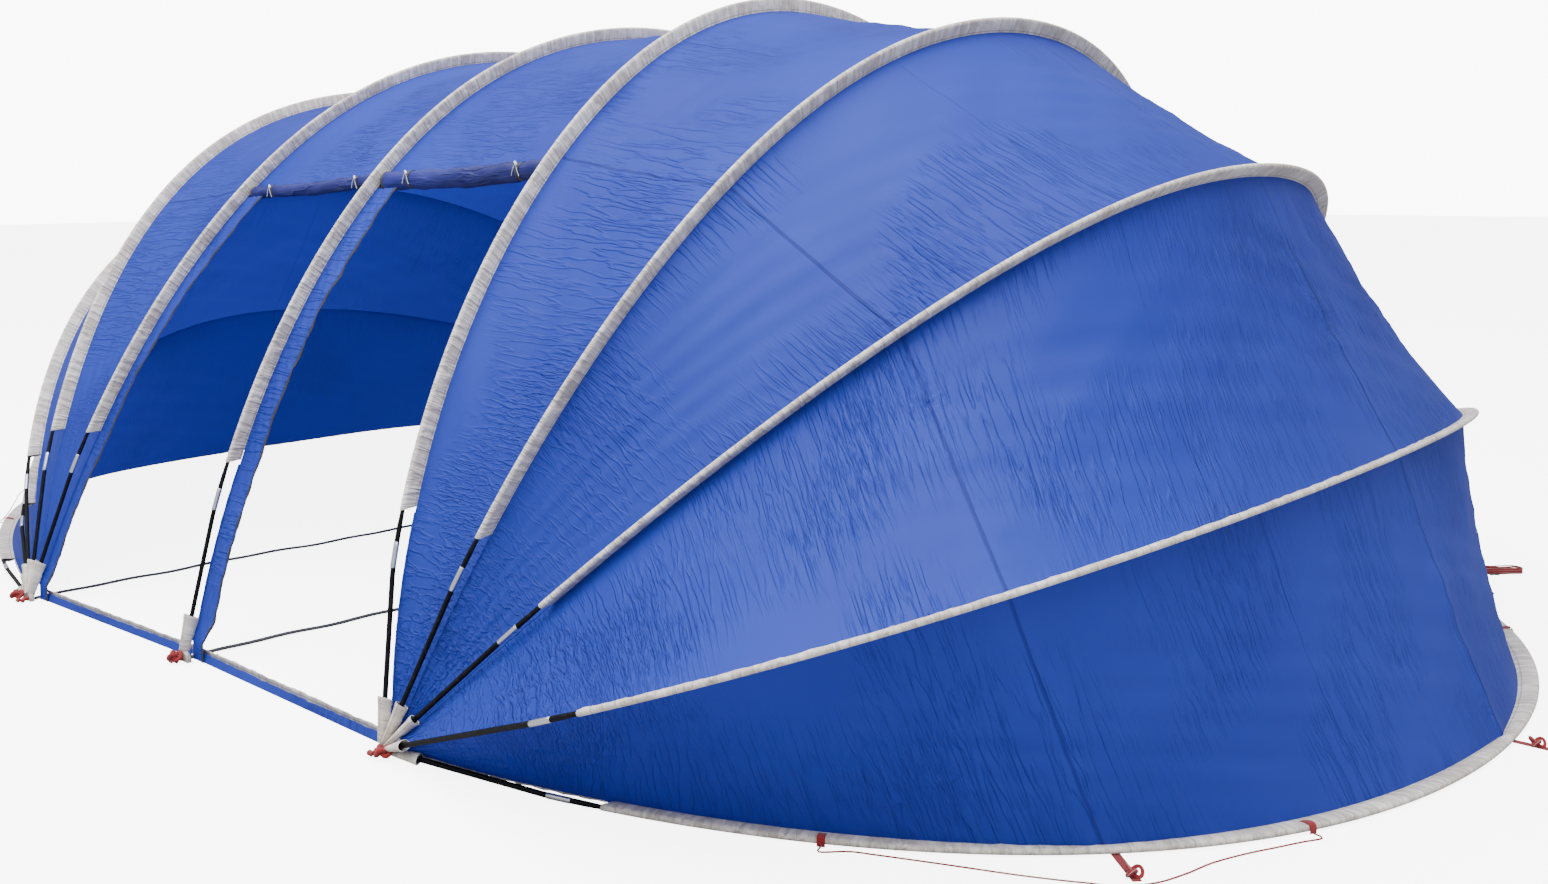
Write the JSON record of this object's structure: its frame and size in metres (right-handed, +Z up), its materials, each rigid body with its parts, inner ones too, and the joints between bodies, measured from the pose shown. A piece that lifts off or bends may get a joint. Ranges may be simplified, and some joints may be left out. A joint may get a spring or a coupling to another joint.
{
  "type": "pool dome tent",
  "caption": "Long walk-in pool dome tent: two open doored bays between fan-shaped ends, blue cloth on bowed black poles in pale sleeves.",
  "frame": {"origin": "on the ground in the middle of the tent, under the middle arch and halfway between its two feet", "axes": "+X along the length of the tent, +Y from the doors to the closed back, +Z up"},
  "size_m": [7.626, 5.159, 2.5087],
  "materials": {
    "blue_cloth": "coated woven polyester, soft sheen, fine creases",
    "blue_door_cloth": "the same cloth rolled, deeper in tone",
    "grey_sleeve_cloth": "heavier matt woven polyester, pale warm grey",
    "black_pole": "wrapped glass-fibre rod, satin",
    "black_zip": "coil zip on woven tape",
    "black_webbing": "flat woven webbing",
    "red_rope": "braided cord, red with black and white flecks",
    "black_slider": "moulded plastic, satin"
  },
  "bodies": {
    "root": {"pole_left_1": "black_pole", "pole_left_2": "black_pole", "pole_left_3": "black_pole", "pole_left_4": "black_pole", "pole_left_base": "black_pole", "pole_middle": "black_pole", "pole_right_1": "black_pole", "pole_right_2": "black_pole", "pole_right_3": "black_pole", "pole_right_4": "black_pole", "pole_right_base": "black_pole", "sleeve_left_1": "grey_sleeve_cloth", "sleeve_left_2": "grey_sleeve_cloth", "sleeve_left_3": "grey_sleeve_cloth", "sleeve_left_4": "grey_sleeve_cloth", "sleeve_left_base": "grey_sleeve_cloth", "sleeve_middle": "grey_sleeve_cloth", "sleeve_right_1": "grey_sleeve_cloth", "sleeve_right_2": "grey_sleeve_cloth", "sleeve_right_3": "grey_sleeve_cloth", "sleeve_right_4": "grey_sleeve_cloth", "sleeve_right_base": "grey_sleeve_cloth", "left_panel_1": "blue_cloth", "left_panel_2": "blue_cloth", "left_panel_3": "blue_cloth", "left_panel_4": "blue_cloth", "right_panel_1": "blue_cloth", "right_panel_2": "blue_cloth", "right_panel_3": "blue_cloth", "right_panel_4": "blue_cloth", "bay_panel_left": "blue_cloth", "bay_panel_right": "blue_cloth", "door_jamb_left": "blue_cloth", "door_jamb_right": "blue_cloth", "door_zip_left": "black_zip", "door_zip_right": "black_zip", "rolled_door_left": "blue_door_cloth", "rolled_door_right": "blue_door_cloth", "door_sill_left": "blue_cloth", "door_sill_right": "blue_cloth", "ground_flap_left": "grey_sleeve_cloth", "ground_flap_right": "grey_sleeve_cloth", "foot_front_left": "grey_sleeve_cloth", "foot_front_middle": "grey_sleeve_cloth", "foot_front_right": "grey_sleeve_cloth", "foot_back_left": "grey_sleeve_cloth", "foot_back_middle": "grey_sleeve_cloth", "foot_back_right": "grey_sleeve_cloth", "ground_strap_left": "black_webbing", "ground_strap_middle": "black_webbing", "ground_strap_right": "black_webbing", "guy_rope_left": "red_rope", "guy_rope_right": "red_rope", "guy_rope_back": "red_rope", "rope_hank": "red_rope", "rope_slider": "black_slider"}
  },
  "joints": []
}
